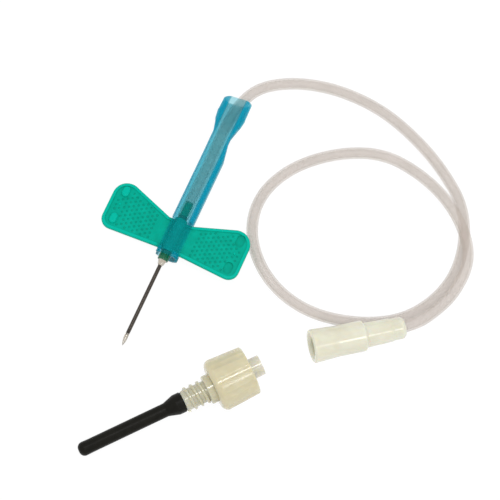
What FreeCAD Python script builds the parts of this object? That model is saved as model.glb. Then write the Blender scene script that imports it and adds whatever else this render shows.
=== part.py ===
import FreeCAD
import Part
import math
import os

# Butterfly needle: a winged needle with a sliding shield, a length of soft tube,
# a female luer connector, and the screw-in adapter with its rubber sleeve lying beside it.
# Millimetres. The needle's axis is the Y axis, its tip points to -Y, the wings reach out along X,
# and the origin is the centre of the hub's nose, where the bare needle leaves the hub.

# Needle tube
needle_outer_radius = 0.40
needle_bore_radius = 0.26
needle_bare_length = 19.05
needle_seat_length = 8.5
needle_seat_radius = 0.385
needle_band_margin = 0.10
needle_band_taper = 0.60
bevel_angle = 13.0
lancet_angle = 21.0
lancet_turn = 42.0

# Adhesive collar at the needle's foot
bond_radius = 0.86
bond_waist_radius = 0.74
bond_waist_distance = 0.40
bond_toe_radius = 0.61
bond_toe_distance = 0.86
bond_length = 1.15
bond_lip = 0.03

# Rigid hub that carries the needle
hub_nose_radius = 1.10
hub_nose_length = 2.0
hub_body_radius = 1.00
hub_body_end = 10.0
hub_edge_radius = 0.18
spigot_length = 3.3

# Soft winged sleeve on the hub
sleeve_wall = 0.33
sleeve_front_gap = 0.12
sleeve_rear_length = 0.40
wing_root_front = 2.12
wing_root_length = 6.7

# Wings
wing_half_span = 14.9
wing_front_flare = 3.0
wing_rear_flare = 19.8
wing_thickness = 1.00
wing_edge_radius = 0.35
wing_rim_width = 0.65
wing_pocket_depth = 0.20
wing_front_corner_radius = 2.2
wing_rear_corner_radius = 3.0
grip_pad_length = 2.3
grip_pad_width = 1.5
grip_pad_height = 0.45
grip_pad_round = 0.36
grip_pad_inset = 2.35
grip_front_pad_offset = 1.8
grip_rear_pad_offset = 1.2
grip_recess_clearance = 0.15
grip_recess_floor = 0.20
grip_pip_radius = 0.32
grip_pip_top_radius = 0.19
grip_pip_height = 0.22
grip_pip_offset = 5.0

# Hinge line between the sleeve's stubs and the wings
hinge_offset_from_shield = 1.15
hinge_gap = 0.30

# Sliding shield
shield_radius = 2.45
shield_wall = 0.55
shield_front = 1.0
shield_body_length = 23.0
shield_body_shift = 0.38
shield_neck_radius = 2.12
shield_neck_taper = 4.0
shield_neck_length = 1.3
shield_shoulder_radius = 2.84
shield_shoulder_length = 3.1
shield_flare_radius = 3.07
shield_flare_length = 1.6
shield_step = 0.06
shield_rear_radius = 2.92
shield_rear_length = 3.7
shield_rear_slant = 9.0
slot_clearance = 0.30
slot_end_clearance = 0.55
shield_travel = 22.0

# Soft tube
tube_outer_radius = 1.20
tube_bore_radius = 0.80
tube_seat_depth = 3.0
tube_lead_out = 2.2

# Female luer connector at the tube's end
connector_mouth_radius = 3.42
connector_barrel_radius = 3.12
connector_mouth_taper = 5.0
connector_barrel_length = 11.3
connector_middle_radius = 2.52
connector_middle_length = 5.7
connector_tail_radius = 2.22
connector_tail_length = 2.5
connector_step = 0.55
connector_tail_round = 0.85
connector_mouth_chamfer = 0.55
connector_rim_chamfer = 0.25
connector_middle_draft = 0.14
luer_mouth_radius = 2.13
luer_depth = 7.5
luer_taper = 0.06
connector_mouth_point = (34.1, -3.0)
connector_heading = 37.2
connector_rear_height = 4.2

# Screw-in adapter
adapter_luer_tip_radius = 2.0
adapter_luer_bore_radius = 1.05
adapter_luer_reach = 2.4
adapter_collar_radius = 5.35
adapter_collar_mouth_radius = 4.95
adapter_collar_length = 8.05
adapter_lock_radius = 4.05
adapter_collar_floor = 1.6
adapter_collar_shoulder = 1.25
adapter_collar_lip_round = 0.45
adapter_flute_count = 10
adapter_flute_radius = 2.6
adapter_flute_depth = 0.12
adapter_neck_radius = 2.95
adapter_neck_length = 1.40
adapter_thread_root_radius = 2.08
adapter_thread_height = 0.40
adapter_thread_pitch = 1.40
adapter_thread_length = 5.0
adapter_thread_land = 0.35
adapter_thread_flank_angle = 33.0
adapter_thread_burial = 0.12
adapter_thread_margin = 0.35
adapter_thread_lead = 0.30
adapter_edge_chamfer = 0.15
adapter_lock_ridge_height = 0.42
adapter_lock_ridge_pitch = 5.0
adapter_lock_ridge_turns = 0.85
adapter_lock_ridge_margin = 0.5
adapter_point = (1.3, -41.4)
adapter_heading = 50.2
adapter_needle_tip_clearance = 0.8
adapter_needle_seat_depth = 6.0

# Rubber sleeve over the adapter's needle
rubber_radius = 1.38
rubber_wall = 0.45
rubber_length = 22.4
rubber_tip_wall = 1.6
rubber_tip_radius = 1.42
rubber_tip_round = 1.15
rubber_tip_length = 2.5
rubber_foot_radius = 2.06
rubber_foot_length = 1.6
rubber_foot_taper = 2.2
rubber_foot_round = 0.25
rubber_spigot_radius = 1.25
rubber_spigot_length = 3.2

# Clearances
seat_clearance = 0.02
stud_clearance = 0.01

# Sizes that follow from the ones above
floor_height = -shield_radius
wing_roll = math.degrees(math.asin((shield_radius - wing_thickness / 2) / wing_half_span))
hub_length = hub_body_end + spigot_length
spigot_radius = tube_bore_radius - seat_clearance
sleeve_inner_radius = hub_body_radius + seat_clearance
sleeve_outer_radius = sleeve_inner_radius + sleeve_wall
sleeve_front = hub_nose_length + sleeve_front_gap
wing_root_rear = wing_root_front + wing_root_length
sleeve_rear = wing_root_rear + sleeve_rear_length
hinge_x = shield_radius + hinge_offset_from_shield
stub_start = sleeve_inner_radius + sleeve_wall / 2
stub_end = hinge_x - hinge_gap / 2
wing_start = hinge_x + hinge_gap / 2
connector_length = connector_barrel_length + connector_middle_length + connector_tail_length
connector_rise = math.degrees(math.asin((connector_rear_height - connector_mouth_radius) / connector_length))
adapter_collar_start = rubber_length + adapter_thread_length + adapter_neck_length
adapter_collar_end = adapter_collar_start + adapter_collar_length
adapter_length = adapter_collar_end + adapter_luer_reach
adapter_luer_base = adapter_collar_start + adapter_collar_floor
adapter_needle_length = rubber_length - rubber_tip_wall - adapter_needle_tip_clearance

# The adapter lies on the round end of its rubber sleeve and on its collar's rounded shoulder
rubber_tip_flat = rubber_tip_radius - rubber_tip_round
adapter_rest_span = adapter_collar_start + adapter_collar_shoulder - rubber_tip_round
adapter_rest_drop = adapter_collar_radius - adapter_collar_shoulder - rubber_tip_flat
adapter_rest_rise = adapter_collar_shoulder - rubber_tip_round
adapter_rise = math.degrees(
    math.atan2(adapter_rest_drop, adapter_rest_span)
    + math.asin(adapter_rest_rise / math.hypot(adapter_rest_span, adapter_rest_drop)))

# Where the middle of the soft tube runs, from the hub's shoulder to the connector's socket.
# It leaves the shield, drops to the table, and crosses over itself in one long low hump.
tube_route = [
    (0.0, 10.0, 0.0),
    (0.0, 15.6, 0.0),
    (0.15, 22.0, -0.05),
    (-0.1, 29.0, -0.12),
    (0.2, 35.8, -0.25),
    (2.0, 41.2, -0.5),
    (5.7, 44.9, -0.8),
    (11.3, 48.0, -1.1),
    (18.7, 50.0, -1.25),
    (28.0, 50.1, -1.25),
    (36.9, 47.6, -1.25),
    (44.4, 44.0, -1.25),
    (51.5, 38.7, -1.25),
    (55.3, 30.3, -1.25),
    (54.9, 21.0, -1.25),
    (49.6, 11.5, -1.25),
    (40.3, 5.7, -1.25),
    (29.8, 3.5, -1.25),
    (20.3, 6.2, -1.25),
    (13.7, 12.9, -1.25),
    (12.0, 21.4, -1.25),
    (15.6, 30.0, -1.25),
    (23.1, 37.3, -1.25),
    (31.8, 41.5, -1.1),
    (40.4, 40.2, 0.9),
    (47.6, 36.2, 4.2),
    (53.5, 31.3, 4.2),
    (56.7, 26.7, 1.9),
    (56.8, 19.7, 0.9),
    (54.7, 14.3, 1.1),
]


def turned(points):
    """A solid of revolution about the Y axis from (distance along Y, radius) points."""
    corners = [FreeCAD.Vector(radius, along, 0) for along, radius in points]
    face = Part.Face(Part.makePolygon(corners + corners[:1]))
    return face.revolve(FreeCAD.Vector(0, 0, 0), FreeCAD.Vector(0, 1, 0), 360)


def rod(radius, start, end):
    """A round rod on the Y axis."""
    return Part.makeCylinder(radius, end - start, FreeCAD.Vector(0, start, 0), FreeCAD.Vector(0, 1, 0))


def tapered_rod(start_radius, end_radius, start, end):
    """A round rod on the Y axis whose radius changes evenly."""
    return turned([(start, 0), (start, start_radius), (end, end_radius), (end, 0)])


def block(x_range, y_range, z_range):
    """A rectangular block between three pairs of limits."""
    low = [min(limits) for limits in (x_range, y_range, z_range)]
    high = [max(limits) for limits in (x_range, y_range, z_range)]
    return Part.makeBox(high[0] - low[0], high[1] - low[1], high[2] - low[2], FreeCAD.Vector(*low))


def edges_where(solid, test):
    """The edges whose every vertex passes a test on its position."""
    return [edge for edge in solid.Edges if all(test(vertex.Point) for vertex in edge.Vertexes)]


def rolled(shape):
    """Rolls a piece about the needle's axis until the left wing's tip is down on the table."""
    shape.rotate(FreeCAD.Vector(0, 0, 0), FreeCAD.Vector(0, 1, 0), -wing_roll)
    return shape


def helical_rib(root_radius, height, pitch, start, turns, land, inward=False):
    """A trapezoid thread ridge on the Y axis, wound on a rod or, if inward, in a bore."""
    helix = Part.makeHelix(pitch, pitch * turns, root_radius)
    foot = land / 2 + height * math.tan(math.radians(adapter_thread_flank_angle))
    side = -1 if inward else 1
    buried = root_radius - side * adapter_thread_burial
    crest = root_radius + side * height
    corners = [
        FreeCAD.Vector(buried, 0, -foot),
        FreeCAD.Vector(crest, 0, -land / 2),
        FreeCAD.Vector(crest, 0, land / 2),
        FreeCAD.Vector(buried, 0, foot),
    ]
    profile = Part.makePolygon(corners + corners[:1])
    rib = Part.Wire(helix).makePipeShell([profile], True, True)
    if rib.Volume < 0:
        rib.reverse()
    rib.rotate(FreeCAD.Vector(0, 0, 0), FreeCAD.Vector(1, 0, 0), -90)
    rib.translate(FreeCAD.Vector(0, start, 0))
    return rib


def make_needle(length_behind, length_ahead, band_start):
    """A needle tube that points to -Y, drawn down to a seat band, with a lancet tip of three facets."""
    outside = turned([
        (-length_ahead, 0),
        (-length_ahead, needle_outer_radius),
        (band_start - needle_band_taper, needle_outer_radius),
        (band_start, needle_seat_radius),
        (length_behind, needle_seat_radius),
        (length_behind, 0),
    ])
    tube = outside.cut(rod(needle_bore_radius, -length_ahead - 1, length_behind + 1))
    tip = FreeCAD.Vector(0, -length_ahead, -needle_outer_radius)
    for angle, turn in ((bevel_angle, 0), (lancet_angle, lancet_turn), (lancet_angle, -lancet_turn)):
        reach = 6 * needle_outer_radius / math.tan(math.radians(angle))
        rise = reach * math.tan(math.radians(angle))
        width = 6 * needle_outer_radius
        corners = [
            tip + FreeCAD.Vector(-width, -reach, -rise),
            tip + FreeCAD.Vector(-width, reach, rise),
            tip + FreeCAD.Vector(-width, -reach, rise),
        ]
        wedge = Part.Face(Part.makePolygon(corners + corners[:1])).extrude(FreeCAD.Vector(2 * width, 0, 0))
        wedge.rotate(tip, FreeCAD.Vector(0, 1, 0), turn)
        tube = tube.cut(wedge)
    return tube


def make_cannula():
    return rolled(make_needle(needle_seat_length, needle_bare_length, -bond_length - needle_band_margin))


def make_cannula_bond():
    hole_radius = needle_seat_radius + stud_clearance
    return turned([
        (0, hole_radius),
        (0, bond_radius),
        (-bond_waist_distance, bond_waist_radius),
        (-bond_toe_distance, bond_toe_radius),
        (-bond_length, hole_radius + bond_lip),
        (-bond_length, hole_radius),
    ])


def make_needle_hub():
    nose = rod(hub_nose_radius, 0, hub_nose_length)
    front = edges_where(nose, lambda point: abs(point.y) < 0.001)
    nose = nose.makeFillet(hub_edge_radius, front)
    body = rod(hub_body_radius, hub_nose_length, hub_body_end)
    spigot = rod(spigot_radius, hub_body_end, hub_length)
    hub = nose.fuse([body, spigot]).removeSplitter()
    return hub.cut(rod(needle_seat_radius + stud_clearance, -1, hub_length + 1))


def wing_edge(x, flare_angle):
    """How far an edge that starts at the shield's side has flared out at a distance x."""
    return (x - shield_radius) * math.tan(math.radians(flare_angle))


def wing_outline(start):
    """The flat outline of a right wing and its root, which runs straight in from the shield's side."""
    far_front = wing_root_front - wing_edge(wing_half_span, wing_front_flare)
    far_rear = wing_root_rear + wing_edge(wing_half_span, wing_rear_flare)
    corners = [
        (start, wing_root_front),
        (shield_radius, wing_root_front),
        (wing_half_span, far_front),
        (wing_half_span, far_rear),
        (shield_radius, wing_root_rear),
        (start, wing_root_rear),
    ]
    return [FreeCAD.Vector(x, y, 0) for x, y in corners]


def plate(corners, bottom, top):
    """A flat plate with the given outline between two heights."""
    face = Part.Face(Part.makePolygon(corners + corners[:1]))
    face.translate(FreeCAD.Vector(0, 0, bottom))
    return face.extrude(FreeCAD.Vector(0, 0, top - bottom))


def rounded_wing_plate(start, inset, bottom, top):
    """The wing's plate with its two outer corners rounded, inset evenly from the outline."""
    solid = plate(wing_outline(start), bottom, top)
    outer = wing_half_span - 0.01
    middle = wing_root_front + wing_root_length / 2
    front = edges_where(solid, lambda point: point.x > outer and point.y < middle)
    solid = solid.makeFillet(wing_front_corner_radius, front)
    rear_corner = wing_root_rear + wing_edge(wing_half_span, wing_rear_flare)
    rear = edges_where(solid, lambda point: point.x > outer and point.y > rear_corner - 0.01)
    solid = solid.makeFillet(wing_rear_corner_radius, rear)
    if inset == 0:
        return solid
    base = next(face for face in solid.Faces if abs(face.CenterOfMass.z - bottom) < 0.001)
    shrunk = base.makeOffset2D(-inset)
    return Part.Face(shrunk.Wires).extrude(FreeCAD.Vector(0, 0, top - bottom))


def free_outline(wing):
    """The level edges round the wing's plate, apart from those at its inner end."""
    level = [edge for edge in wing.Edges if edge.BoundBox.ZLength < 0.001]
    return [edge for edge in level if edge.BoundBox.XMax > stub_start + 0.001]


def wing_blank():
    """A right wing and its root in one: a thin plate in a raised rim that is open towards the sleeve."""
    half = wing_thickness / 2
    blank = rounded_wing_plate(stub_start, 0, -half, half)
    blank = blank.makeFillet(wing_edge_radius, free_outline(blank))
    open_start = stub_start - 2 * wing_rim_width
    blank = blank.cut(rounded_wing_plate(open_start, wing_rim_width, half - wing_pocket_depth, half + 1))
    return blank.cut(rounded_wing_plate(open_start, wing_rim_width, -half - 1, -half + wing_pocket_depth))


def wing_part(start, end):
    """The part of the right wing's blank between two distances from the middle."""
    limit = 2 * wing_half_span
    return wing_blank().common(block((start, end), (-limit, limit), (-wing_thickness, wing_thickness)))


def grip_block(y, length, width, bottom, height):
    """A block with round ends, beside the wing's outer edge."""
    x = wing_half_span - grip_pad_inset
    half = (length - width) / 2
    ends = [FreeCAD.Vector(x, y - half, bottom), FreeCAD.Vector(x, y + half, bottom)]
    middle = block((x - width / 2, x + width / 2), (y - half, y + half), (bottom, bottom + height))
    up = FreeCAD.Vector(0, 0, 1)
    return middle.fuse([Part.makeCylinder(width / 2, height, end, up) for end in ends]).removeSplitter()


def make_wing(side):
    """One wing from its hinge outwards, with pads on the left and recesses on the right."""
    wing = wing_part(wing_start, 2 * wing_half_span)
    surface = wing_thickness / 2 - wing_pocket_depth
    sunk = wing_pocket_depth / 2
    for y in (wing_root_front + grip_front_pad_offset, wing_root_rear + grip_rear_pad_offset):
        if side < 0:
            pad = grip_block(y, grip_pad_length, grip_pad_width, surface - sunk, grip_pad_height + sunk)
            top = edges_where(pad, lambda point: point.z > surface + grip_pad_height - 0.001)
            wing = wing.fuse(pad.makeFillet(grip_pad_round, top))
        else:
            length = grip_pad_length + 2 * grip_recess_clearance
            width = grip_pad_width + 2 * grip_recess_clearance
            wing = wing.cut(grip_block(y, length, width, -surface + grip_recess_floor, wing_thickness))
    pip_y = wing_root_front + grip_pip_offset
    pip_point = FreeCAD.Vector(wing_half_span - grip_pad_inset, pip_y, surface - sunk)
    wing = wing.fuse(Part.makeCone(grip_pip_radius, grip_pip_top_radius, grip_pip_height + sunk, pip_point))
    if side < 0:
        wing = wing.mirror(FreeCAD.Vector(0, 0, 0), FreeCAD.Vector(1, 0, 0))
    return rolled(wing)


def make_wing_sleeve():
    sleeve = rod(sleeve_outer_radius, sleeve_front, sleeve_rear)
    stub = wing_part(stub_start, stub_end)
    mirrored = stub.mirror(FreeCAD.Vector(0, 0, 0), FreeCAD.Vector(1, 0, 0))
    sleeve = sleeve.fuse([stub, mirrored]).removeSplitter()
    return rolled(sleeve.cut(rod(sleeve_inner_radius, sleeve_front - 1, sleeve_rear + 1)))


def ring_wire(radius, centre):
    """A circle square to the needle's axis."""
    return Part.Wire(Part.makeCircle(radius, centre, FreeCAD.Vector(0, 1, 0)))


def space_behind_shield():
    """The space behind the shield's slanted rear end, which reaches furthest on its right."""
    neck_end = shield_front + shield_body_length + shield_neck_taper + shield_neck_length
    rear_end = neck_end + shield_shoulder_length + shield_flare_length + shield_rear_length
    limit = 3 * shield_flare_radius
    space = block((-limit, 0), (0, limit), (-limit, limit))
    space.rotate(FreeCAD.Vector(0, 0, 0), FreeCAD.Vector(0, 0, 1), shield_rear_slant)
    space.translate(FreeCAD.Vector(shield_flare_radius, rear_end, 0))
    return space


def shield_block(wall, overrun):
    """The shield's outside, or its inside when a wall is taken off, as one solid."""
    body_end = shield_front + shield_body_length
    neck_start = body_end + shield_neck_taper
    neck_end = neck_start + shield_neck_length
    shoulder_end = neck_end + shield_shoulder_length
    flare_end = shoulder_end + shield_flare_length
    rear_end = flare_end + shield_rear_length + overrun
    step = shield_step if wall == 0 else 0
    body = rod(shield_radius - wall, shield_front - overrun, body_end)
    body.translate(FreeCAD.Vector(shield_body_shift, 0, 0))
    wide = ring_wire(shield_radius - wall, FreeCAD.Vector(shield_body_shift, body_end, 0))
    narrow = ring_wire(shield_neck_radius - wall, FreeCAD.Vector(0, neck_start, 0))
    front = body.fuse([
        Part.makeLoft([wide, narrow], True, True),
        rod(shield_neck_radius - wall, neck_start, neck_end),
    ])
    cone = turned([
        (neck_end, 0),
        (neck_end, shield_neck_radius - wall),
        (shoulder_end, shield_shoulder_radius - wall),
        (flare_end, shield_flare_radius - wall),
        (flare_end, 0),
    ])
    cuff = tapered_rod(shield_flare_radius - step - wall, shield_rear_radius - wall, flare_end, rear_end)
    limit = 2 * shield_flare_radius
    half_height = shield_radius - wall
    flats = block((-limit, limit), (neck_end - 1, rear_end + 1), (-half_height, half_height))
    return front.fuse(cone.fuse(cuff).common(flats)).removeSplitter()


def make_shield():
    """A thin tube that flares behind its neck, slotted along both sides for the rolled wings."""
    shield = shield_block(0, 0).cut(shield_block(shield_wall, 1))
    slot_end = wing_root_rear + shield_travel + slot_end_clearance
    limit = 2 * shield_flare_radius
    half = wing_thickness / 2 + slot_clearance
    slot = block((-limit, limit), (shield_front - 1, slot_end), (-half, half))
    side = FreeCAD.Vector(1, 0, 0)
    slot_round = Part.makeCylinder(half, 2 * limit, FreeCAD.Vector(-limit, slot_end, 0), side)
    return shield.cut([rolled(slot), rolled(slot_round), space_behind_shield()])


def placed(shape, heading, rise, point, height):
    """Lays a piece made on the Y axis on the table: turned, lifted and moved to its place."""
    shape.rotate(FreeCAD.Vector(0, 0, 0), FreeCAD.Vector(1, 0, 0), rise)
    shape.rotate(FreeCAD.Vector(0, 0, 0), FreeCAD.Vector(0, 0, 1), heading - 90)
    shape.translate(FreeCAD.Vector(point[0], point[1], height))
    return shape


def place_connector(shape):
    height = floor_height + connector_mouth_radius * math.cos(math.radians(connector_rise))
    return placed(shape, connector_heading, connector_rise, connector_mouth_point, height)


def connector_axis_point(along):
    """A point on the connector's axis, measured from its mouth."""
    height = floor_height + connector_mouth_radius * math.cos(math.radians(connector_rise))
    rise = math.radians(connector_rise)
    heading = math.radians(connector_heading)
    start = FreeCAD.Vector(connector_mouth_point[0], connector_mouth_point[1], height)
    level = math.cos(rise) * along
    climb = math.sin(rise) * along
    return start + FreeCAD.Vector(level * math.cos(heading), level * math.sin(heading), climb)


def make_luer_connector():
    barrel_end = connector_barrel_length
    middle_end = barrel_end + connector_middle_length
    body = turned([
        (0, 0),
        (0, connector_mouth_radius - connector_rim_chamfer),
        (connector_rim_chamfer, connector_mouth_radius),
        (connector_mouth_taper, connector_barrel_radius),
        (barrel_end - connector_step, connector_barrel_radius),
        (barrel_end, connector_middle_radius),
        (middle_end - connector_step, connector_middle_radius - connector_middle_draft),
        (middle_end, connector_tail_radius),
        (connector_length, connector_tail_radius),
        (connector_length, 0),
    ])
    tail = edges_where(body, lambda point: point.y > connector_length - 0.001 and abs(point.x) > 0.1)
    body = body.makeFillet(connector_tail_round, tail)
    luer_end_radius = luer_mouth_radius - luer_taper * luer_depth / 2
    socket = turned([
        (-1, 0),
        (-1, luer_mouth_radius + connector_mouth_chamfer + 1),
        (connector_mouth_chamfer, luer_mouth_radius),
        (luer_depth, luer_end_radius),
        (luer_depth, 0),
    ])
    passage = rod(tube_bore_radius, luer_depth - 1, connector_length)
    seat = rod(tube_outer_radius + seat_clearance, connector_length - tube_seat_depth, connector_length + 1)
    return place_connector(body.cut([socket, passage, seat]))


def rounded_path(points):
    """Straight runs joined by tangent arcs, each as large as its two runs allow."""
    edges = []
    radii = []
    start = points[0]
    for before, corner, after in zip(points, points[1:], points[2:]):
        arriving = (corner - before).normalize()
        leaving = (after - corner).normalize()
        turn = arriving.getAngle(leaving)
        reach = 0.45 * min((corner - before).Length, (after - corner).Length)
        radius = reach / math.tan(turn / 2)
        radii.append(radius)
        arc_start = corner - arriving * reach
        arc_end = corner + leaving * reach
        inward = (leaving - arriving).normalize()
        middle = corner + inward * (radius / math.cos(turn / 2) - radius)
        edges.append(Part.LineSegment(start, arc_start).toShape())
        edges.append(Part.Arc(arc_start, middle, arc_end).toShape())
        start = arc_end
    edges.append(Part.LineSegment(start, points[-1]).toShape())
    return Part.Wire(edges), radii


def swept(path, radius):
    """A round rod along a path."""
    first = path.Edges[0]
    start = first.valueAt(first.FirstParameter)
    direction = first.tangentAt(first.FirstParameter)
    section = Part.Wire(Part.makeCircle(radius, start, direction))
    return path.makePipeShell([section], True, True)


def make_tube():
    outside = connector_axis_point(connector_length + tube_lead_out)
    seat = connector_axis_point(connector_length - tube_seat_depth)
    points = [FreeCAD.Vector(*point) for point in tube_route] + [outside, seat]
    path, radii = rounded_path(points)
    tube = swept(path, tube_outer_radius).cut(swept(path, tube_bore_radius))
    section = math.pi * (tube_outer_radius ** 2 - tube_bore_radius ** 2)
    print("tube length", round(path.Length, 2), "volume over section times length",
          round(tube.Volume / section / path.Length, 4))
    print("tube bend radii", [round(radius, 1) for radius in radii])
    return tube


def place_adapter(shape):
    rise = math.radians(adapter_rise)
    height = floor_height + rubber_tip_round * (1 - math.sin(rise)) + rubber_tip_flat * math.cos(rise)
    return placed(shape, adapter_heading, adapter_rise, adapter_point, height)


def make_adapter_body():
    """Thread, flange, fluted collar and tapered luer tip, moulded as one piece."""
    thread_end = rubber_length + adapter_thread_length
    collar_start = adapter_collar_start
    shoulder = adapter_collar_shoulder
    shaft = turned([
        (rubber_length, 0),
        (rubber_length, adapter_thread_root_radius - adapter_edge_chamfer),
        (rubber_length + adapter_thread_lead, adapter_thread_root_radius),
        (thread_end, adapter_thread_root_radius),
        (thread_end, adapter_neck_radius - adapter_edge_chamfer),
        (thread_end + adapter_edge_chamfer, adapter_neck_radius),
        (collar_start + adapter_collar_floor / 2, adapter_neck_radius),
        (collar_start + adapter_collar_floor / 2, 0),
    ])
    spigot = rod(rubber_spigot_radius, rubber_length - rubber_spigot_length, rubber_length + 1)
    collar = tapered_rod(adapter_collar_radius, adapter_collar_mouth_radius, collar_start, adapter_collar_end)
    front = edges_where(collar, lambda point: abs(point.y - collar_start) < 0.001 and abs(point.x) > 0.1)
    collar = collar.makeFillet(shoulder, front)
    lip = edges_where(collar, lambda point: abs(point.y - adapter_collar_end) < 0.001 and abs(point.x) > 0.1)
    collar = collar.makeFillet(adapter_collar_lip_round, lip)
    flutes = []
    flute_axis = adapter_collar_radius + adapter_flute_radius - adapter_flute_depth
    flute_slope = (adapter_collar_radius - adapter_collar_mouth_radius) / adapter_collar_length
    for index in range(adapter_flute_count):
        angle = 2 * math.pi * (index + 0.5) / adapter_flute_count
        outward = FreeCAD.Vector(math.cos(angle), 0, math.sin(angle))
        along = FreeCAD.Vector(0, 1, 0) - outward * flute_slope
        start = outward * flute_axis + FreeCAD.Vector(0, collar_start, 0) - along
        flutes.append(Part.makeCylinder(adapter_flute_radius, adapter_collar_length + 3, start, along))
    collar = collar.cut(flutes)
    collar = collar.cut(rod(adapter_lock_radius, adapter_luer_base, adapter_collar_end + 1))
    luer_base = adapter_luer_base - adapter_collar_floor / 2
    base_radius = adapter_luer_tip_radius + luer_taper * (adapter_length - luer_base) / 2
    luer = tapered_rod(base_radius, adapter_luer_tip_radius, luer_base, adapter_length)
    body = shaft.fuse([spigot, collar, luer])
    rib_start = rubber_length + adapter_thread_margin
    rib_turns = (adapter_thread_length - 2 * adapter_thread_margin) / adapter_thread_pitch
    thread = helical_rib(adapter_thread_root_radius, adapter_thread_height, adapter_thread_pitch,
                         rib_start, rib_turns, adapter_thread_land)
    body = body.fuse(thread)
    lock_length = adapter_lock_ridge_pitch * adapter_lock_ridge_turns
    lock_start = adapter_collar_end - lock_length - adapter_lock_ridge_margin
    for turn in (0, 180):
        ridge = helical_rib(adapter_lock_radius, adapter_lock_ridge_height, adapter_lock_ridge_pitch,
                            lock_start, adapter_lock_ridge_turns, adapter_thread_land, inward=True)
        ridge.rotate(FreeCAD.Vector(0, 0, 0), FreeCAD.Vector(0, 1, 0), turn)
        body = body.fuse(ridge)
    needle_end = rubber_length + adapter_needle_seat_depth
    passage = rod(adapter_luer_bore_radius, needle_end + 1, adapter_length + 1)
    spigot_end = rubber_length - rubber_spigot_length
    needle_hole = rod(needle_seat_radius + stud_clearance, spigot_end - 1, needle_end + 2)
    return place_adapter(body.cut([passage, needle_hole]))


def make_adapter_cannula():
    seat = adapter_needle_seat_depth + rubber_spigot_length
    needle = make_needle(seat, adapter_needle_length - rubber_spigot_length, -needle_band_margin)
    needle.translate(FreeCAD.Vector(0, rubber_length - rubber_spigot_length, 0))
    return place_adapter(needle)


def make_rubber_sleeve():
    """A closed rubber sleeve whose wide foot grips the adapter's spigot."""
    foot_start = rubber_length - rubber_foot_length
    outside = turned([
        (0, 0),
        (0, rubber_tip_radius),
        (rubber_tip_round, rubber_tip_radius),
        (rubber_tip_length, rubber_radius),
        (foot_start - rubber_foot_taper, rubber_radius),
        (foot_start, rubber_foot_radius),
        (rubber_length - rubber_foot_round, rubber_foot_radius),
        (rubber_length, rubber_foot_radius - rubber_foot_round),
        (rubber_length, 0),
    ])
    tip = edges_where(outside, lambda point: abs(point.y) < 0.001 and abs(point.x) > 0.1)
    outside = outside.makeFillet(rubber_tip_round - 0.01, tip)
    bore = rod(rubber_radius - rubber_wall, rubber_tip_wall, rubber_length)
    foot_bore_start = rubber_length - rubber_spigot_length
    foot_bore = rod(rubber_spigot_radius + seat_clearance, foot_bore_start, rubber_length + 1)
    return place_adapter(outside.cut([bore, foot_bore]))


def main():
    os.makedirs("parts", exist_ok=True)
    shapes = {
        "cannula": make_cannula(),
        "cannula_bond": make_cannula_bond(),
        "needle_hub": make_needle_hub(),
        "wing_sleeve": make_wing_sleeve(),
        "wing_left": make_wing(-1),
        "wing_right": make_wing(1),
        "shield": make_shield(),
        "tube": make_tube(),
        "luer_connector": make_luer_connector(),
        "adapter_body": make_adapter_body(),
        "adapter_cannula": make_adapter_cannula(),
        "rubber_sleeve": make_rubber_sleeve(),
    }
    for name, shape in shapes.items():
        size = [shape.BoundBox.XLength, shape.BoundBox.YLength, shape.BoundBox.ZLength]
        print(name, "solids", len(shape.Solids), "valid", shape.isValid(), "volume", round(shape.Volume, 3),
              "size", [round(value, 2) for value in size])
        shape.exportStep("parts/" + name + ".step")


main()
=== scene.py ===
"""Looks of a butterfly needle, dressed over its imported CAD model.

The needle set lies on a white table: a steel needle in a green winged hub, a blue sliding shield, a
loop of soft clear tube with its cream luer connector, and a screw-in luer adapter beside it.
Metres, in the frame of the CAD model: the needle points to -Y, the wings lie along X, Z is up.
"""

import logging
import math
from dataclasses import dataclass, field
from enum import Enum

import bmesh
import bpy
from mathutils import Matrix, Vector

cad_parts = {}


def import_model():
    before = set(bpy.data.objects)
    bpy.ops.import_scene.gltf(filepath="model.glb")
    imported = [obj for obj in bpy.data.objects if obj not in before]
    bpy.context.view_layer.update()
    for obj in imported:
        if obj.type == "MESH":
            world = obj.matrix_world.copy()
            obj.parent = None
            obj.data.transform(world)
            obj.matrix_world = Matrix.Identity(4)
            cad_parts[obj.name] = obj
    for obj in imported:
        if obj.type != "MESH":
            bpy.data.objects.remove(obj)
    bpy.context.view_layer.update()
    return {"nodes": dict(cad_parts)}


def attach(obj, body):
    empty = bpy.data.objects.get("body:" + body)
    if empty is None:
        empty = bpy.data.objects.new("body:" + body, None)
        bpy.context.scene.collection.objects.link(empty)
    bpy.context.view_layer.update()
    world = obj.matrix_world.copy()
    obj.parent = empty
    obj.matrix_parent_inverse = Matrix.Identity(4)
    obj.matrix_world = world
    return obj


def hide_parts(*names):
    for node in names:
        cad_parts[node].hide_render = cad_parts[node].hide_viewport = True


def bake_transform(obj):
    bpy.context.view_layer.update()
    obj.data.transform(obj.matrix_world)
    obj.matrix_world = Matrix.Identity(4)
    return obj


Tree = bpy.types.NodeTree
Node = bpy.types.Node
Direction = tuple[float, float, float]

MM = 0.001
SHARP_ANGLE = math.radians(40)
# The height of an equal-sided triangle over its side
TRIANGLE_HEIGHT = math.sin(math.radians(60))
# Noise seldom leaves this part of its range, so what it varies runs from end to end over it
NOISE_LOW, NOISE_HIGH = 0.3, 0.7
# How far the wings lie rolled about the needle, in degrees
WING_ROLL = 7.52
# The directions that patterns and soft edges are measured along
ACROSS = (1.0, 0.0, 0.0)
NEEDLE_AXIS = (0.0, 1.0, 0.0)
WING_UP = (-math.sin(math.radians(WING_ROLL)), 0.0, math.cos(math.radians(WING_ROLL)))
ADAPTER_AXIS = (0.634269, 0.761274, 0.134777)
LOG = logging.getLogger("butterfly_needle")


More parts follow.
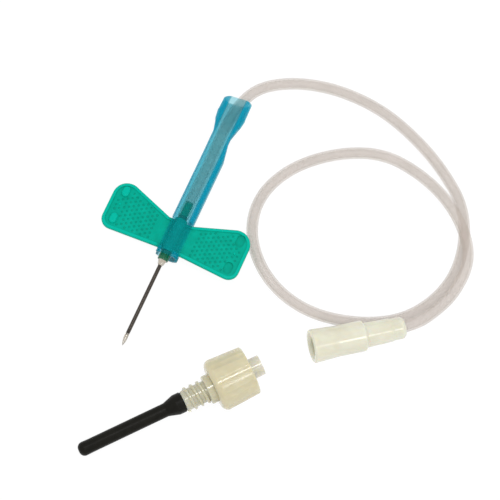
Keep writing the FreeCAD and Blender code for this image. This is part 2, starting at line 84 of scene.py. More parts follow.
class Body(Enum):
    """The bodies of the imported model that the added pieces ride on."""

    NEEDLE_SET = "needle_set"
    WING_LEFT = "wing_left"
    WING_RIGHT = "wing_right"


class Side(Enum):
    """Which side of the needle a wing is on."""

    LEFT = -1
    RIGHT = 1


class Face(Enum):
    """Which face of a wing a pattern is moulded on."""

    TOP = 1
    BOTTOM = -1


# Helpers for colours and nodes


def linear(hex_colour: str) -> tuple[float, float, float, float]:
    """Turns an sRGB hex colour into Blender's linear colour.

    Args:
        hex_colour: six hex digits after a hash sign.

    Returns:
        Red, green, blue and an alpha of 1.
    """
    levels = [int(hex_colour[i : i + 2], 16) / 255 for i in (1, 3, 5)]
    shades = [v / 12.92 if v <= 0.04045 else ((v + 0.055) / 1.055) ** 2.4 for v in levels]
    return (shades[0], shades[1], shades[2], 1.0)


def add_node(tree: Tree, kind: str, inputs: dict | None = None, stops: tuple = (), **settings) -> Node:
    """Adds a shader node with its settings, and sets or links its inputs.

    Args:
        tree: the material's node tree.
        kind: the node's Blender type.
        inputs: by input name or number, a value to set, a socket to link, or a node whose first socket
            in use is linked.
        stops: a colour ramp's stops in order, each a place from 0 to 1 and a linear colour.
        **settings: properties of the node itself.

    Returns:
        The new node.
    """
    node = tree.nodes.new(kind)
    for name, value in settings.items():
        setattr(node, name, value)
    for key, value in (inputs or {}).items():
        if isinstance(value, Node):
            value = next(socket for socket in value.outputs if socket.enabled)
        if isinstance(value, bpy.types.NodeSocket):
            tree.links.new(value, node.inputs[key])
        else:
            node.inputs[key].default_value = value
    while stops and len(node.color_ramp.elements) < len(stops):
        node.color_ramp.elements.new(0.5)
    for number, (place, colour) in enumerate(stops):
        node.color_ramp.elements[number].position = place
        node.color_ramp.elements[number].color = colour
    return node


def new_material(name: str) -> tuple[bpy.types.Material, Tree]:
    """Makes an empty node material.

    Args:
        name: the finish's name.

    Returns:
        The material and its cleared node tree.
    """
    material = bpy.data.materials.new(name)
    material.use_nodes = True
    material.node_tree.nodes.clear()
    return material, material.node_tree


def along_line(tree: Tree, line: Direction) -> Node:
    """Adds the nodes that tell how far along a line through the origin a place is.

    Args:
        tree: the material's node tree.
        line: the line's direction, of length 1.

    Returns:
        The node whose value is that distance, in metres.
    """
    place = add_node(tree, "ShaderNodeTexCoord")
    return add_node(tree, "ShaderNodeVectorMath", {0: place.outputs["Object"], 1: line},
                    operation="DOT_PRODUCT")


def spots(tree: Tree, size_mm: float, detail: float = 2.0) -> Node:
    """Adds noise on Object coordinates, whose blotches have a real size.

    Args:
        tree: the material's node tree.
        size_mm: the size of a blotch.
        detail: how many finer layers the noise has.

    Returns:
        The noise's node, whose factor is from 0 to 1.
    """
    place = add_node(tree, "ShaderNodeTexCoord")
    mapped = add_node(tree, "ShaderNodeMapping", {
        "Vector": place.outputs["Object"], "Scale": [1 / (size_mm * MM)] * 3})
    return add_node(tree, "ShaderNodeTexNoise", {
        "Vector": mapped, "Scale": 1.0, "Detail": detail, "Roughness": 0.55})


# Finishes


@dataclass(frozen=True)
class SoftEdge:
    """A soft line across a piece, past which its looks differ.

    It is measured along an axis, or outwards to both sides of a middle. Its end may lie before its start,
    so that the places before it differ. What it gives is 0 before it and 1 past it, if not said otherwise.
    """

    axis: Direction
    start_mm: float
    end_mm: float
    middle_mm: float = 0.0
    both_sides: bool = False
    before: float = 0.0
    past: float = 1.0

    def share(self, tree: Tree) -> Node:
        """Adds the nodes that tell on which side of the edge a place is.

        Args:
            tree: the material's node tree.

        Returns:
            The node whose value changes across the edge.
        """
        off = add_node(tree, "ShaderNodeMath", {0: along_line(tree, self.axis), 1: self.middle_mm * MM},
                       operation="SUBTRACT")
        if self.both_sides:
            off = add_node(tree, "ShaderNodeMath", {0: off}, operation="ABSOLUTE")
        return add_node(tree, "ShaderNodeMapRange", {
            "Value": off, "From Min": self.start_mm * MM, "From Max": self.end_mm * MM,
            "To Min": self.before, "To Max": self.past}, interpolation_type="SMOOTHSTEP")


@dataclass(frozen=True)
class Patch:
    """A part of a piece with its own colour or painted light, which may hide more of what lies behind it.

    It is what lies past all of its edges.
    """

    colour: str
    edges: tuple[SoftEdge, ...]
    cover: float | None = None

    def share(self, tree: Tree) -> Node:
        """Adds the nodes that tell how far a place belongs to the patch.

        Args:
            tree: the material's node tree.

        Returns:
            The node whose value is from 0 to 1.
        """
        share = self.edges[0].share(tree)
        for edge in self.edges[1:]:
            share = add_node(tree, "ShaderNodeMath", {0: share, 1: edge.share(tree)}, operation="MULTIPLY")
        return share


@dataclass(frozen=True)
class Plastic:
    """A moulded or extruded plastic, from clear to solid.

    Its two colours are the paler and deeper places of the same melt. Its haze is the roughness that
    blurs what it reflects, and its cover is how much of what lies behind each of its skins it hides.
    Its glow is the light that spreads under its skin, and its tint colours what passes through it.
    """

    name: str
    pale: str
    deep: str
    haze: float
    haze_spread: float
    ior: float
    blotch_mm: float
    ripple_mm: float
    ripple_depth_mm: float
    clearness: float = 0.0
    glow: float = 0.0
    glow_reach_mm: tuple[float, float, float] = (1.0, 1.0, 1.0)
    tint: str | None = None
    tint_per_mm: float = 0.0
    gloss: float = 0.5
    cover: float = 1.0
    patches: tuple[Patch, ...] = ()

    def colour(self, tree: Tree) -> Node:
        """Adds the nodes of the melt's colour, which runs between its deeper and its paler places.

        Args:
            tree: the material's node tree.

        Returns:
            The node that gives the colour.
        """
        return add_node(tree, "ShaderNodeValToRGB", {"Fac": spots(tree, self.blotch_mm)}, stops=(
            (NOISE_LOW, linear(self.deep)), (NOISE_HIGH, linear(self.pale))))

    def material(self) -> bpy.types.Material:
        """Builds the shader: one Principled surface, and an absorbing inside where it is tinted.

        Returns:
            The material.
        """
        material, tree = new_material(self.name)
        colour, cover = self.colour(tree), self.cover
        for patch in self.patches:
            share = patch.share(tree)
            colour = add_node(tree, "ShaderNodeMix", {0: share, 6: colour, 7: linear(patch.colour)},
                              data_type="RGBA")
            if patch.cover is not None:
                cover = add_node(tree, "ShaderNodeMix", {0: share, 2: cover, 3: patch.cover},
                                 data_type="FLOAT")
        ripples = spots(tree, self.ripple_mm, detail=3.0)
        rough = add_node(tree, "ShaderNodeMapRange", {
            "Value": ripples, "From Min": NOISE_LOW, "From Max": NOISE_HIGH,
            "To Min": self.haze - self.haze_spread, "To Max": self.haze + self.haze_spread})
        surface = add_node(tree, "ShaderNodeBsdfPrincipled", {
            "Base Color": colour,
            "Roughness": rough,
            "IOR": self.ior,
            "Transmission Weight": self.clearness,
            "Specular IOR Level": self.gloss,
            "Subsurface Weight": self.glow,
            "Subsurface Radius": self.glow_reach_mm,
            "Subsurface Scale": MM,
            "Alpha": cover,
            "Normal": add_node(tree, "ShaderNodeBump", {
                "Height": ripples, "Distance": self.ripple_depth_mm * MM, "Strength": 1.0}),
        })
        result = add_node(tree, "ShaderNodeOutputMaterial", {"Surface": surface})
        if self.tint is not None:
            inside = add_node(tree, "ShaderNodeVolumeAbsorption", {
                "Color": linear(self.tint), "Density": self.tint_per_mm / MM})
            tree.links.new(inside.outputs["Volume"], result.inputs["Volume"])
        return material


@dataclass(frozen=True)
class BandedPlastic(Plastic):
    """A plastic that looks whiter or greyer in bands along the piece, where its walls are thinner."""

    axis: Direction = NEEDLE_AXIS
    bands: tuple[tuple[float, str], ...] = ()

    def colour(self, tree: Tree) -> Node:
        """Adds the nodes of the bands' colours, each at its place along the axis, with the melt's blotches.

        Args:
            tree: the material's node tree.

        Returns:
            The node that gives the colour.
        """
        first, last = self.bands[0][0], self.bands[-1][0]
        share = add_node(tree, "ShaderNodeMapRange", {
            "Value": along_line(tree, self.axis), "From Min": first * MM, "From Max": last * MM})
        shades = add_node(tree, "ShaderNodeValToRGB", {"Fac": share}, stops=tuple(
            ((place - first) / (last - first), linear(shade)) for place, shade in self.bands))
        return add_node(tree, "ShaderNodeMix", {0: 1.0, 6: shades, 7: super().colour(tree)},
                        data_type="RGBA", blend_type="MULTIPLY")


@dataclass(frozen=True)
class DrawnSteel:
    """Stainless needle tube, drawn through a die: fine scratches run along it, many times their width."""

    name: str = "stainless_steel_drawn"
    # Both greys are darker than bare steel's: painted shade for the dim room that the needle reflects.
    pale: str = "#5E5852"
    deep: str = "#4E4944"
    roughness: float = 0.24
    roughness_spread: float = 0.03
    scratch_mm: float = 0.05
    scratch_length: float = 60.0
    scratch_depth_mm: float = 0.0001
    painted_tip_glint: Patch | None = None

    def material(self, along: Vector) -> bpy.types.Material:
        """Builds the shader, with the scratches running along a needle.

        Args:
            along: the needle's own direction, which the pattern's Y axis is turned to.

        Returns:
            The material.
        """
        material, tree = new_material(self.name)
        place = add_node(tree, "ShaderNodeTexCoord")
        turn = Vector((0, 1, 0)).rotation_difference(along).inverted().to_euler()
        turned = add_node(tree, "ShaderNodeMapping", {
            "Vector": place.outputs["Object"], "Rotation": tuple(turn)})
        fine = 1 / (self.scratch_mm * MM)
        stretched = add_node(tree, "ShaderNodeMapping", {
            "Vector": turned, "Scale": (fine, fine / self.scratch_length, fine)})
        scratches = add_node(tree, "ShaderNodeTexNoise", {"Vector": stretched, "Scale": 1.0, "Detail": 2.0})
        colour = add_node(tree, "ShaderNodeValToRGB", {"Fac": scratches}, stops=(
            (NOISE_LOW, linear(self.deep)), (NOISE_HIGH, linear(self.pale))))
        # Painted glint: a pale colour on the tip's bevel, for the light that the bevel reflects.
        if self.painted_tip_glint is not None:
            colour = add_node(tree, "ShaderNodeMix", {
                0: self.painted_tip_glint.share(tree), 6: colour, 7: linear(self.painted_tip_glint.colour)}, data_type="RGBA")
        rough = add_node(tree, "ShaderNodeMapRange", {
            "Value": scratches, "From Min": NOISE_LOW, "From Max": NOISE_HIGH,
            "To Min": self.roughness - self.roughness_spread,
            "To Max": self.roughness + self.roughness_spread})
        surface = add_node(tree, "ShaderNodeBsdfPrincipled", {
            "Base Color": colour,
            "Metallic": 1.0,
            "Roughness": rough,
            "Normal": add_node(tree, "ShaderNodeBump", {
                "Height": scratches, "Distance": self.scratch_depth_mm * MM, "Strength": 1.0}),
        })
        add_node(tree, "ShaderNodeOutputMaterial", {"Surface": surface})
        return material


@dataclass(frozen=True)
class StudioPaper:
    """A seamless white sheet: plain white to the eye, with the object's soft shadow on it."""

    name: str = "paper_white_seamless"
    colour: str = "#F4F4F4"
    own_white: float = 0.93
    shadow_share: float = 0.12

    def material(self) -> bpy.types.Material:
        """Builds the shader: white where the camera, a reflection or clear plastic looks at it.

        Returns:
            The material.
        """
        material, tree = new_material(self.name)
        paper = add_node(tree, "ShaderNodeBsdfDiffuse", {"Color": linear(self.colour)})
        dimmed = tuple(self.shadow_share * level for level in linear(self.colour)[:3])
        shadow = add_node(tree, "ShaderNodeBsdfDiffuse", {"Color": (*dimmed, 1.0)})
        white = add_node(tree, "ShaderNodeEmission", {
            "Color": linear("#FFFFFF"), "Strength": self.own_white})
        seen = add_node(tree, "ShaderNodeAddShader", {0: shadow, 1: white})
        rays = add_node(tree, "ShaderNodeLightPath").outputs
        direct = add_node(tree, "ShaderNodeMath", {0: rays["Is Camera Ray"], 1: rays["Is Glossy Ray"]},
                          operation="MAXIMUM")
        looked_at = add_node(tree, "ShaderNodeMath", {0: direct, 1: rays["Is Transmission Ray"]},
                             operation="MAXIMUM")
        mixed = add_node(tree, "ShaderNodeMixShader", {0: looked_at, 1: paper, 2: seen})
        add_node(tree, "ShaderNodeOutputMaterial", {"Surface": mixed})
        return material


# Stainless steel, drawn: grey and satin, with a painted glint, a pale colour on the tip's bevel.
NEEDLE_STEEL = DrawnSteel(painted_tip_glint=Patch("#D6D0C6", edges=(
    SoftEdge(NEEDLE_AXIS, start_mm=-16.2, end_mm=-16.7),)))

# The same steel on the adapter's needle, all of it drawn.
ADAPTER_STEEL = DrawnSteel(name="stainless_steel_drawn_adapter")

# Clear soft vinyl, extruded: a little milky and warm, with a soft satin skin and cloudy places. The dark
# green spigot that it is pushed over shows through its first stretch.
VINYL_TUBE = Plastic(
    name="vinyl_clear_extruded", pale="#DED3CB", deep="#D4CAC1", haze=0.20, haze_spread=0.04, ior=1.42,
    blotch_mm=6.0, ripple_mm=2.2, ripple_depth_mm=0.004, tint="#E6DFD6", tint_per_mm=0.30, gloss=0.35,
    cover=0.28, patches=(Patch("#2DC898", edges=(
        SoftEdge(NEEDLE_AXIS, start_mm=13.5, end_mm=12.6), SoftEdge(ACROSS, start_mm=6.0, end_mm=3.0))),))

# Green soft vinyl, moulded: bright and even, satin from the tool. The wings' raised rims catch more light
# than the thin plate inside them.
VINYL_WING = Plastic(
    name="vinyl_green_moulded", pale="#00B29A", deep="#00A48C", haze=0.28, haze_spread=0.05, ior=1.45,
    blotch_mm=1.6, ripple_mm=0.5, ripple_depth_mm=0.012, gloss=0.06,
    patches=(Patch("#00BBA4", edges=(
        SoftEdge(WING_UP, start_mm=0.34, end_mm=0.46, both_sides=True),
        SoftEdge(ACROSS, start_mm=2.49, end_mm=2.51, both_sides=True))),))

# The same vinyl where it stands up in dots: thicker, so deeper in colour than the plate round it.
VINYL_DOTS = Plastic(
    name="vinyl_green_moulded_dots", pale="#009E86", deep="#00947E", haze=0.28, haze_spread=0.04, ior=1.45,
    blotch_mm=1.6, ripple_mm=0.5, ripple_depth_mm=0.003, gloss=0.06)

# Blue polypropylene, moulded thin: clear but hazy and pale in the middle. It is deep blue at the sides,
# which stand on edge, but not beside the slots, and less on the right of the flare: painted light for
# the facet there that catches more light. Its front corners are deeper still.
POLYPROPYLENE_SHIELD = Plastic(
    name="polypropylene_blue_moulded", pale="#1FA6B6", deep="#189FB0", haze=0.27, haze_spread=0.05,
    ior=1.40, blotch_mm=4.0, ripple_mm=0.9, ripple_depth_mm=0.004, tint="#00E4F2", tint_per_mm=1.05,
    gloss=0.10, cover=0.14, patches=(
        Patch("#00ABC9", cover=0.62, edges=(
            SoftEdge(ACROSS, start_mm=1.35, end_mm=1.85, middle_mm=-0.12, both_sides=True),
            SoftEdge(NEEDLE_AXIS, start_mm=3.2, end_mm=3.9, middle_mm=5.5, both_sides=True),
            # Painted light: the right of the flare takes only part of the deep blue, for its lighter facet.
            SoftEdge(ACROSS, start_mm=2.0, end_mm=2.6, before=1.0, past=0.55))),
        Patch("#0094A8", cover=0.70, edges=(
            SoftEdge(ACROSS, start_mm=1.0, end_mm=1.5, middle_mm=-0.12, both_sides=True),
            SoftEdge(NEEDLE_AXIS, start_mm=2.4, end_mm=1.9)))))

# Green ABS, moulded: hard, glossy and almost solid in colour.
ABS_HUB = Plastic(
    name="abs_dark_green_moulded", pale="#0A7852", deep="#066844", haze=0.22, haze_spread=0.05, ior=1.53,
    blotch_mm=1.0, ripple_mm=0.4, ripple_depth_mm=0.003, clearness=0.15)

# Uncoloured ABS, moulded: cream, waxy, with light that spreads a millimetre or two under its skin.
ABS_CONNECTOR = Plastic(
    name="abs_cream_moulded", pale="#ECEAD8", deep="#E3E0CC", haze=0.20, haze_spread=0.04, ior=1.53,
    blotch_mm=3.0, ripple_mm=0.8, ripple_depth_mm=0.003, glow=0.6, glow_reach_mm=(1.6, 1.3, 0.9))

# Uncoloured polycarbonate, moulded: a yellower cream with a clearer gloss than the connector's, greyer on
# the thread and whiter on the thin tip.
POLYCARBONATE_ADAPTER = BandedPlastic(
    name="polycarbonate_cream_moulded", pale="#FFFFFF", deep="#F4F2EE", haze=0.18, haze_spread=0.04,
    ior=1.55, blotch_mm=3.0, ripple_mm=0.7, ripple_depth_mm=0.006, glow=0.6,
    glow_reach_mm=(1.6, 1.3, 0.8), axis=ADAPTER_AXIS,
    bands=((-7.0, "#CDCBB6"), (-3.0, "#CFCBB2"), (-1.8, "#DDD5B4"), (5.8, "#DDD6B7"), (6.4, "#E4E1D2")))

# Epoxy, cured: a hard whitish bead, glassy on its skin and a little brown where it is thick.
EPOXY_BOND = Plastic(
    name="epoxy_cured", pale="#F0EAE0", deep="#D8C9B4", haze=0.16, haze_spread=0.04, ior=1.54,
    blotch_mm=0.5, ripple_mm=0.25, ripple_depth_mm=0.01, clearness=0.30)

# Natural rubber with carbon black, dip moulded: black satin, with a dry uneven bloom on its skin.
RUBBER_SLEEVE = Plastic(
    name="rubber_black_dipped", pale="#191812", deep="#12110C", haze=0.40, haze_spread=0.08, ior=1.52,
    blotch_mm=1.4, ripple_mm=0.35, ripple_depth_mm=0.012, gloss=0.12)


# Pieces


def dress(node: bpy.types.Object, material: bpy.types.Material) -> None:
    """Gives every slot of a CAD node the same material.

    Args:
        node: the CAD node's object.
        material: the finish it takes.
    """
    for slot in node.material_slots:
        slot.material = material


def piece_from(bm: bmesh.types.BMesh, name: str, material: bpy.types.Material) -> bpy.types.Object:
    """Turns a finished bmesh into a piece at the origin, smooth apart from its sharp edges.

    Args:
        bm: the mesh being built, which is freed.
        name: the piece's name.
        material: its finish.

    Returns:
        The new object.
    """
    for face in bm.faces:
        face.smooth = True
    for edge in bm.edges:
        edge.smooth = edge.calc_face_angle(0.0) < SHARP_ANGLE
    mesh = bpy.data.meshes.new(name)
    bm.to_mesh(mesh)
    bm.free()
    mesh.materials.append(material)
    made = bpy.data.objects.new(name, mesh)
    bpy.context.scene.collection.objects.link(made)
    return made


@dataclass
class Studio:
    """Camera, soft lights, plain world and white floor."""

    camera_place_mm: tuple[float, float, float] = (-4.42, -98.65, 360.52)
    camera_right: Direction = (0.89997, 0.40171, 0.16936)
    camera_up: Direction = (-0.43289, 0.86937, 0.23833)
    lens_mm: float = 135.0
    sensor_mm: float = 36.0
    nearest_mm: float = 10.0
    farthest_mm: float = 5000.0
    floor_height_mm: float = -2.45
    floor_side_mm: float = 3000.0
    aim_mm: tuple[float, float, float] = (20.0, 8.0, 0.0)
    key_direction: Direction = (0.08, 0.31, 0.95)
    key_distance_mm: float = 600.0
    key_side_mm: float = 90.0
    key_power: float = 0.7
    fill_direction: Direction = (0.43, -0.10, 0.90)
    fill_distance_mm: float = 700.0
    fill_side_mm: float = 90.0
    fill_power: float = 0.45
    sky_levels: tuple[tuple[float, float], ...] = ((0.0, 0.34), (0.25, 0.80), (0.6, 0.98), (1.0, 0.42))

    def axes(self) -> tuple[Vector, Vector, Vector]:
        """Squares the camera's directions to each other.

        Returns:
            Its right, up and backward directions.
        """
        right = Vector(self.camera_right).normalized()
        up = Vector(self.camera_up)
        up = (up - up.dot(right) * right).normalized()
        return right, up, right.cross(up)

    def make_camera(self) -> None:
        """Makes the camera at the photograph's place and turn."""
        right, up, back = self.axes()
        data = bpy.data.cameras.new("camera")
        data.lens = self.lens_mm
        data.sensor_width = self.sensor_mm
        data.clip_start = self.nearest_mm * MM
        data.clip_end = self.farthest_mm * MM
        camera = bpy.data.objects.new("camera", data)
        turn = Matrix((right, up, back)).transposed().to_4x4()
        camera.matrix_world = Matrix.Translation(Vector(self.camera_place_mm) * MM) @ turn
        bpy.context.scene.collection.objects.link(camera)
        bpy.context.scene.camera = camera

    def make_light(self, name: str, direction: Direction, distance_mm: float, side_mm: float,
                   power: float) -> None:
        """Makes a square soft light that looks at the object.

        Args:
            name: the light's name.
            direction: where it stands, along the camera's right, up and backward directions.
            distance_mm: how far it is from the object.
            side_mm: the length of its side.
            power: its power in watts.
        """
        right, up, back = self.axes()
        away = (right * direction[0] + up * direction[1] + back * direction[2]).normalized()
        data = bpy.data.lights.new(name, "AREA")
        data.shape = "SQUARE"
        data.size = side_mm * MM
        data.energy = power
        light = bpy.data.objects.new(name, data)
        light.location = (Vector(self.aim_mm) + away * distance_mm) * MM
        light.rotation_euler = away.to_track_quat("Z", "Y").to_euler()
        bpy.context.scene.collection.objects.link(light)

    def make_world(self) -> None:
        """Makes the soft light from all round, dimmer near the table and overhead, where the camera is."""
        world = bpy.data.worlds.new("world")
        world.use_nodes = True
        tree = world.node_tree
        tree.nodes.clear()
        place = add_node(tree, "ShaderNodeTexCoord")
        parts = add_node(tree, "ShaderNodeSeparateXYZ", {0: place.outputs["Generated"]})
        shades = add_node(tree, "ShaderNodeValToRGB", {"Fac": parts.outputs["Z"]}, stops=tuple(
            (height, (level, level, level, 1.0)) for height, level in self.sky_levels))
        sky = add_node(tree, "ShaderNodeBackground", {"Color": shades, "Strength": 1.0})
        add_node(tree, "ShaderNodeOutputWorld", {"Surface": sky})
        bpy.context.scene.world = world

    def make_floor(self) -> None:
        """Makes the white sheet that the object lies on."""
        bm = bmesh.new()
        bmesh.ops.create_grid(bm, x_segments=1, y_segments=1, size=self.floor_side_mm * MM / 2)
        bmesh.ops.translate(bm, verts=bm.verts, vec=(0, 0, self.floor_height_mm * MM))
        floor = piece_from(bm, "floor", StudioPaper().material())

    def build(self) -> None:
        """Sets the plain view and makes everything round the object."""
        bpy.context.scene.view_settings.view_transform = "Standard"
        self.make_world()
        self.make_light("key_light", self.key_direction, self.key_distance_mm, self.key_side_mm,
                        self.key_power)
        self.make_light("fill_light", self.fill_direction, self.fill_distance_mm, self.fill_side_mm,
                        self.fill_power)
        self.make_floor()


@dataclass
class SoftTube:
    """The loose soft tube, from the hub's spigot to its seat in the connector.

    Its route is the CAD model's, with five points moved by up to 0.64 mm to follow the photograph.
    """

    outer_radius_mm: float = 1.20
    wall_mm: float = 0.40
    length_mm: float = 246.6
    round_resolution: int = 8
    steps_per_point: int = 36
    route_mm: list[tuple[float, float, float]] = field(default_factory=lambda: [
        (0.0, 10.0, 0.0), (0.0, 15.6, 0.0), (0.15, 22.0, -0.05), (-0.1, 29.0, -0.12), (0.2, 35.8, -0.25),
        (2.0, 41.2, -0.5), (5.7, 44.9, -0.8), (11.3, 48.0, -1.1), (18.7, 50.0, -1.25), (28.0, 50.1, -1.25),
        (36.9, 47.6, -1.25), (44.4, 44.0, -1.25), (51.5, 38.7, -1.25), (55.3, 30.3, -1.25),
        (55.2, 20.8, -1.25), (49.9, 11.25, -1.25), (40.4, 5.65, -1.25), (29.8, 3.5, -1.25),
        (20.3, 6.2, -1.25), (13.7, 12.9, -1.25), (12.0, 21.4, -1.25), (15.6, 30.0, -1.25),
        (23.1, 37.3, -1.25), (31.8, 41.5, -1.1), (40.4, 40.2, 0.9), (47.6, 36.2, 4.2), (53.5, 31.3, 4.2),
        (56.7, 26.7, 1.9), (56.4, 19.9, 0.9), (54.2, 14.7, 1.1), (51.371, 10.109, 1.835),
        (47.232, 6.968, 1.627),
    ])

    def build(self, connector: bpy.types.Object) -> None:
        """Makes the tube as one smooth curve with a hollow round section.

        Args:
            connector: the luer connector, which the tube carries at its far end. It is not used.
        """
        data = bpy.data.curves.new("soft_tube", "CURVE")
        data.dimensions = "3D"
        data.twist_mode = "MINIMUM"
        data.bevel_depth = self.outer_radius_mm * MM
        data.bevel_resolution = self.round_resolution
        line = data.splines.new("NURBS")
        line.points.add(len(self.route_mm) - 1)
        for point, place in zip(line.points, self.route_mm):
            point.co = (*(v * MM for v in place), 1.0)
        line.order_u = 3
        line.use_endpoint_u = True
        line.resolution_u = self.steps_per_point
        data.materials.append(VINYL_TUBE.material())
        tube = bpy.data.objects.new("soft_tube", data)
        bpy.context.scene.collection.objects.link(tube)
        wall = tube.modifiers.new("wall", "SOLIDIFY")
        wall.thickness = self.wall_mm * MM
        wall.offset = -1.0
        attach(tube, Body.NEEDLE_SET.value)
        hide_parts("tube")


@dataclass
class LuerConnector:
    """The female luer connector at the tube's end."""

    node: bpy.types.Object

    def build(self) -> None:
        """Dresses the moulded connector."""
        dress(self.node, ABS_CONNECTOR.material())


@dataclass
class Wing:
    """One wing: its moulded plate, the anti-slip dots on it and the web that it folds on.

    The plate's own sizes repeat the CAD model's. The dots keep off its rim by a clearance, with a little
    more at its slanted rear edge, and off its three grips by ovals that are longer along the needle.
    """

    side: Side
    node: bpy.types.Object
    material: bpy.types.Material
    dot_material: bpy.types.Material
    dot_pitch_mm: float = 0.98
    dot_row_angle: float = 28.0
    dot_radius_mm: float = 0.28
    dot_height_mm: float = 0.07
    dot_sunk_mm: float = 0.02
    dot_cut: float = 0.02
    dot_reach: int = 16
    dot_shift_mm: float = 1.5
    dot_clearance_mm: float = 0.1
    dot_sides: int = 12
    dot_rings: int = 6
    surface_mm: float = 0.30
    hinge_x_mm: float = 3.6
    hinge_gap_mm: float = 0.30
    shield_radius_mm: float = 2.45
    root_front_mm: float = 2.12
    root_rear_mm: float = 8.82
    front_flare: float = 3.0
    rear_flare: float = 19.8
    half_span_mm: float = 14.9
    rim_mm: float = 0.65
    front_corner_mm: float = 2.2
    rear_corner_mm: float = 3.0
    roll: float = WING_ROLL
    grip_inset_mm: float = 2.35
    grip_rows_mm: tuple[float, float, float] = (3.92, 7.12, 10.02)
    grip_keep_out_mm: tuple[float, float, float] = (1.6, 0.8, 1.6)
    grip_keep_out_ratio: float = 1.25
    rear_margin_ratio: float = 1.05
    rim_height_mm: float = 0.50
    edge_round_mm: float = 0.35
    edge_round_angles: tuple[float, ...] = (0.0, 30.0, 60.0, 90.0)
    web_proud_mm: float = 0.004
    web_lap_mm: float = 0.12
    web_steps: int = 8

    @property
    def body(self) -> str:
        """The name of the body that this wing rides on."""
        return (Body.WING_LEFT if self.side is Side.LEFT else Body.WING_RIGHT).value

    def tilt(self) -> Matrix:
        """Returns the turn about the needle that the wings lie at, right wing up."""
        return Matrix.Rotation(-math.radians(self.roll), 4, "Y")

    def edges_at(self, x: float) -> tuple[float, float]:
        """Tells where the wing's two long edges are.

        Args:
            x: the distance from the middle in millimetres.

        Returns:
            Where the front and the rear edge are along the needle, in millimetres.
        """
        out = x - self.shield_radius_mm
        front = self.root_front_mm - out * math.tan(math.radians(self.front_flare))
        rear = self.root_rear_mm + out * math.tan(math.radians(self.rear_flare))
        return front, rear

    def is_bare(self, x: float, y: float) -> bool:
        """Tells whether a dot fits at a place: inside the rim and clear of the grips.

        Args:
            x: the place's distance from the middle in millimetres.
            y: its distance along the needle.

        Returns:
            True if the place is free.
        """
        margin = self.rim_mm + self.dot_radius_mm + self.dot_clearance_mm
        front, rear = self.edges_at(x)
        low, high = front + margin, rear - margin * self.rear_margin_ratio
        end = self.half_span_mm - margin
        start = (self.hinge_x_mm + self.hinge_gap_mm / 2 + self.web_lap_mm + self.dot_radius_mm
                 + self.dot_clearance_mm)
        if not (start < x < end and low < y < high):
            return False
        front_reach, rear_reach = self.front_corner_mm - margin / 2, self.rear_corner_mm - margin / 2
        beyond_front = (x - (end - front_reach), low + front_reach - y)
        beyond_rear = (x - (end - rear_reach), y - (high - rear_reach))
        for beyond, reach in ((beyond_front, front_reach), (beyond_rear, rear_reach)):
            if min(beyond) > 0 and math.hypot(*beyond) > reach:
                return False
        grip_x = self.half_span_mm - self.grip_inset_mm
        return all(math.hypot((x - grip_x) * self.grip_keep_out_ratio, y - grip_y) > keep_out
                   for grip_y, keep_out in zip(self.grip_rows_mm, self.grip_keep_out_mm))

    def dot_places(self) -> list[tuple[float, float]]:
        """Lays out the dots on a right wing, in slanted staggered rows to each side of its middle.

        Returns:
            Each dot's distance from the middle and place along the needle, in millimetres.
        """
        along = Matrix.Rotation(math.radians(self.dot_row_angle), 2)
        row_gap = self.dot_pitch_mm * TRIANGLE_HEIGHT
        centre = Vector((self.half_span_mm / 2 + self.dot_shift_mm,
                         (self.root_front_mm + self.root_rear_mm) / 2))
        numbers = range(-self.dot_reach, self.dot_reach + 1)
        found = []
        for row in numbers:
            for step in numbers:
                offset = Vector(((step + (row % 2) / 2) * self.dot_pitch_mm, row * row_gap))
                place = centre + along @ offset
                if self.is_bare(place.x, place.y):
                    found.append((place.x, place.y))
        return found

    def build_dots(self, face: Face) -> None:
        """Makes the low domes of the anti-slip pattern on one face, all in one piece.

        Each is a flattened ball, cut just above its widest and sunk a little into the plate.

        Args:
            face: which face they stand on.
        """
        bm = bmesh.new()
        bmesh.ops.create_uvsphere(bm, u_segments=self.dot_sides, v_segments=self.dot_rings, radius=1.0)
        everything = bm.verts[:] + bm.edges[:] + bm.faces[:]
        cut = bmesh.ops.bisect_plane(bm, geom=everything, plane_co=(0, 0, self.dot_cut),
                                     plane_no=(0, 0, 1), clear_inner=True)
        rim = [item for item in cut["geom_cut"] if isinstance(item, bmesh.types.BMEdge)]
        bmesh.ops.edgeloop_fill(bm, edges=rim)
        bmesh.ops.scale(bm, verts=bm.verts, vec=(self.dot_radius_mm, self.dot_radius_mm,
                                                 self.dot_height_mm + self.dot_sunk_mm))
        first = bm.verts[:] + bm.edges[:] + bm.faces[:]
        foot = self.surface_mm - self.dot_sunk_mm
        for x, y in self.dot_places():
            copied = bmesh.ops.duplicate(bm, geom=first)["geom"]
            verts = [item for item in copied if isinstance(item, bmesh.types.BMVert)]
            bmesh.ops.translate(bm, verts=verts, vec=(x, y, foot))
        bmesh.ops.delete(bm, geom=[item for item in first if isinstance(item, bmesh.types.BMVert)],
                         context="VERTS")
        bmesh.ops.scale(bm, verts=bm.verts, vec=(self.side.value * MM, MM, face.value * MM))
        bmesh.ops.transform(bm, matrix=self.tilt(), verts=bm.verts)
        bmesh.ops.recalc_face_normals(bm, faces=bm.faces)
        dots = piece_from(bm, f"{self.body}_dots_{face.name.lower()}", self.dot_material)
        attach(dots, self.body)

    def web_section(self) -> list[tuple[float, float]]:
        """Lays out half of the web's section: its rim and where its plate begins.

        Returns:
            Corners as the distance in from the web's edge and the height, in millimetres.
        """
        top = self.rim_height_mm + self.web_proud_mm
        thin = self.surface_mm + self.web_proud_mm
        corner = [(self.edge_round_mm * (1 - math.cos(angle)) - self.web_proud_mm,
                   top - self.edge_round_mm * (1 - math.sin(angle)))
                  for angle in map(math.radians, self.edge_round_angles)]
        return corner + [(self.rim_mm, top), (self.rim_mm, thin)]

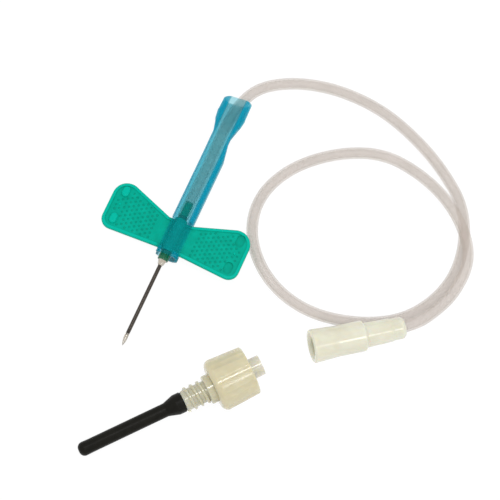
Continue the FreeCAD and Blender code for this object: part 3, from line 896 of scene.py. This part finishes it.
    def build_web(self) -> None:
        """Makes the web that joins the wing to the sleeve, with the wing's own section."""
        near = self.hinge_x_mm - self.hinge_gap_mm / 2 - self.web_lap_mm
        far = self.hinge_x_mm + self.hinge_gap_mm / 2 + self.web_lap_mm
        half = self.web_section()
        step = (far - near) / self.web_steps
        front, rear = self.edges_at(near)
        upper = [(front + inset, z) for inset, z in half]
        upper += [(rear - inset, z) for inset, z in reversed(half)]
        around = upper + [(y, -z) for y, z in reversed(upper)]
        middle = (self.root_front_mm + self.root_rear_mm) / 2
        bm = bmesh.new()
        section = bm.faces.new([bm.verts.new((near, y, z)) for y, z in around])
        for number in range(self.web_steps):
            grown = bmesh.ops.extrude_face_region(bm, geom=[section])["geom"]
            if number > 0:
                bmesh.ops.delete(bm, geom=[section], context="FACES_ONLY")
            section = next(item for item in grown if isinstance(item, bmesh.types.BMFace))
            for vert in section.verts:
                flare = self.rear_flare if vert.co.y > middle else -self.front_flare
                vert.co += Vector((step, step * math.tan(math.radians(flare)), 0))
        bmesh.ops.scale(bm, verts=bm.verts, vec=(self.side.value * MM, MM, MM))
        bmesh.ops.transform(bm, matrix=self.tilt(), verts=bm.verts)
        bmesh.ops.recalc_face_normals(bm, faces=bm.faces)
        web = piece_from(bm, f"{self.body}_web", self.material)
        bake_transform(web)

    def build(self) -> None:
        """Dresses the wing's plate and builds its dots and its web."""
        dress(self.node, self.material)
        for face in Face:
            self.build_dots(face)
        self.build_web()


@dataclass
class NeedleUnit:
    """The steel needle, its adhesive bead, the hub and the sleeve that carries the wings."""

    needle: bpy.types.Object
    bond: bpy.types.Object
    hub: bpy.types.Object
    sleeve: bpy.types.Object
    green: bpy.types.Material

    def build(self) -> None:
        """Dresses each piece of the unit."""
        dress(self.needle, NEEDLE_STEEL.material(Vector(NEEDLE_AXIS)))
        dress(self.bond, EPOXY_BOND.material())
        dress(self.hub, ABS_HUB.material())
        dress(self.sleeve, self.green)


@dataclass
class Shield:
    """The thin slotted and flared body that slides forward over the needle."""

    node: bpy.types.Object

    def build(self) -> None:
        """Dresses the shield."""
        dress(self.node, POLYPROPYLENE_SHIELD.material())


@dataclass
class Adapter:
    """The screw-in luer adapter with its needle and the rubber sleeve over it."""

    body: bpy.types.Object
    needle: bpy.types.Object
    sleeve: bpy.types.Object

    def build(self) -> None:
        """Dresses each piece of the adapter."""
        dress(self.body, POLYCARBONATE_ADAPTER.material())
        dress(self.needle, ADAPTER_STEEL.material(Vector(ADAPTER_AXIS)))
        dress(self.sleeve, RUBBER_SLEEVE.material())


def main() -> None:
    """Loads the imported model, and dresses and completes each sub-assembly."""
    logging.basicConfig(level=logging.INFO, format="%(name)s: %(message)s")
    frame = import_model()
    nodes = frame["nodes"]
    studio = Studio()
    studio.make_camera()
    SoftTube().build(nodes["luer_connector"])
    LOG.info("soft tube")
    LuerConnector(nodes["luer_connector"]).build()
    LOG.info("luer connector")
    green, dots = VINYL_WING.material(), VINYL_DOTS.material()
    NeedleUnit(nodes["cannula"], nodes["cannula_bond"], nodes["needle_hub"], nodes["wing_sleeve"],
               green).build()
    LOG.info("needle, bond, hub and sleeve")
    for side, name in ((Side.LEFT, "wing_left"), (Side.RIGHT, "wing_right")):
        Wing(side, nodes[name], green, dots).build()
        LOG.info("%s with dots and web", name)
    Shield(nodes["shield"]).build()
    LOG.info("shield")
    Adapter(nodes["adapter_body"], nodes["adapter_cannula"], nodes["rubber_sleeve"]).build()
    LOG.info("adapter with needle and rubber sleeve")
    studio.build()
    LOG.info("studio")


if __name__ == "__main__":
    main()
